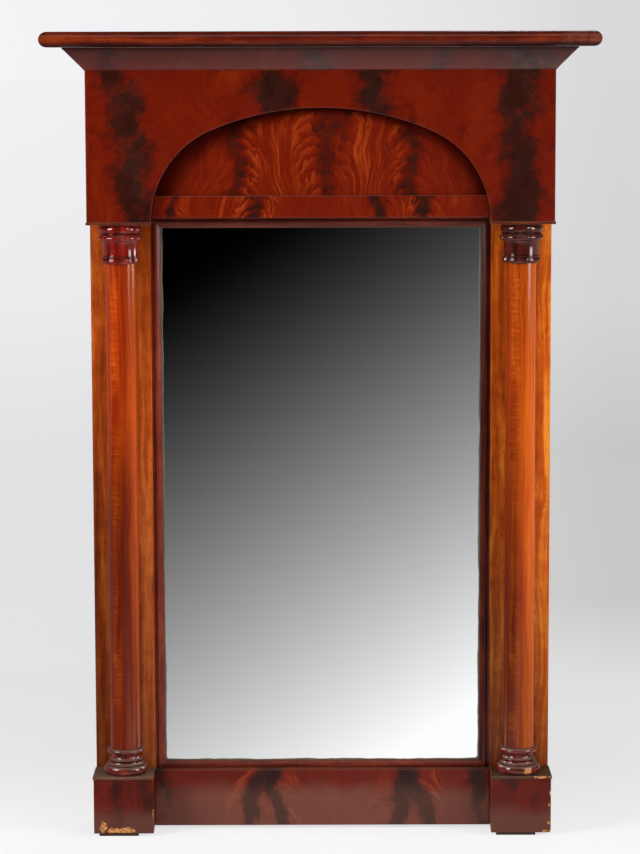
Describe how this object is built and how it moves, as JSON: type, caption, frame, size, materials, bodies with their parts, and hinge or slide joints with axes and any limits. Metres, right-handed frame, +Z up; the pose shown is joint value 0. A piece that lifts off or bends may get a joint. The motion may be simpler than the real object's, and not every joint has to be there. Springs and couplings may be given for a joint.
{
  "type": "overmantel mirror",
  "caption": "Tall wall mirror in a veneered frame with turned columns on plinths, an arched frieze and a bullnosed cornice, hung by rings on its back.",
  "frame": {"origin": "middle of the width and depth, on the surface the foot pads stand on", "axes": "+Z up, +X to the right as seen from the room, +Y towards the wall"},
  "size_m": [0.754, 0.147, 1.118],
  "materials": {
    "crotch_veneer": "French-polished crotch mahogany veneer, deep red-brown with flame figure",
    "straight_mahogany": "French-polished straight-grained mahogany, orange-brown",
    "turned_mahogany": "turned or moulded mahogany, dark cherry red, high gloss",
    "shaft_mahogany": "polished mahogany shaft, glossy orange-red with darker streaks",
    "pine": "bare aged pine, unpolished",
    "silvered_glass": "silvered plate glass, worn a little along its lower edge",
    "iron": "dark wrought iron with a little rust"
  },
  "bodies": {
    "frame": {"stile_left": "straight_mahogany", "stile_right": "straight_mahogany", "top_rail": "pine", "bottom_rail": "pine", "bottom_rail_facing": "crotch_veneer", "foot_pad_left": "pine", "foot_pad_right": "pine", "plinth_block_left": "crotch_veneer", "plinth_block_right": "crotch_veneer", "plinth_cap_left": "straight_mahogany", "plinth_cap_right": "straight_mahogany", "column_base_left": "turned_mahogany", "column_base_right": "turned_mahogany", "column_shaft_left": "shaft_mahogany", "column_shaft_right": "shaft_mahogany", "column_capital_left": "turned_mahogany", "column_capital_right": "turned_mahogany", "frieze_board": "crotch_veneer", "arch_band": "crotch_veneer", "lunette_panel": "crotch_veneer", "frieze_bottom_board": "pine", "frieze_return_left": "crotch_veneer", "frieze_return_right": "crotch_veneer", "soffit_plate_left": "straight_mahogany", "soffit_plate_right": "straight_mahogany", "splay_front": "crotch_veneer", "splay_left": "crotch_veneer", "splay_right": "crotch_veneer", "cornice_board": "pine", "nosing_front": "crotch_veneer", "nosing_left": "crotch_veneer", "nosing_right": "crotch_veneer", "sight_moulding_bottom": "turned_mahogany", "sight_moulding_top": "turned_mahogany", "sight_moulding_left": "turned_mahogany", "sight_moulding_right": "turned_mahogany", "mirror_glass": "silvered_glass", "glass_slip_left": "pine", "glass_slip_right": "pine", "glass_slip_bottom": "pine", "glass_slip_top": "pine", "backboard_1": "pine", "backboard_2": "pine", "backboard_nail_1": "iron", "backboard_nail_2": "iron", "backboard_nail_3": "iron", "backboard_nail_4": "iron", "backboard_nail_5": "iron", "backboard_nail_6": "iron", "backboard_nail_7": "iron", "backboard_nail_8": "iron", "hanger_strap_left": "iron", "hanger_strap_right": "iron", "hanger_screw_left_1": "iron", "hanger_screw_left_2": "iron", "hanger_screw_right_1": "iron", "hanger_screw_right_2": "iron"},
    "left_ring": {"hanger_ring_left": "iron"},
    "right_ring": {"hanger_ring_right": "iron"}
  },
  "joints": [
    {"name": "left_ring_swing", "type": "hinge", "parent": "frame", "child": "left_ring", "pos_m": [-0.15, 0.06925, 1.017], "axis": [1, 0, 0], "range_deg": [-4, 180]},
    {"name": "right_ring_swing", "type": "hinge", "parent": "frame", "child": "right_ring", "pos_m": [0.15, 0.06925, 1.017], "axis": [1, 0, 0], "range_deg": [-4, 180]}
  ]
}
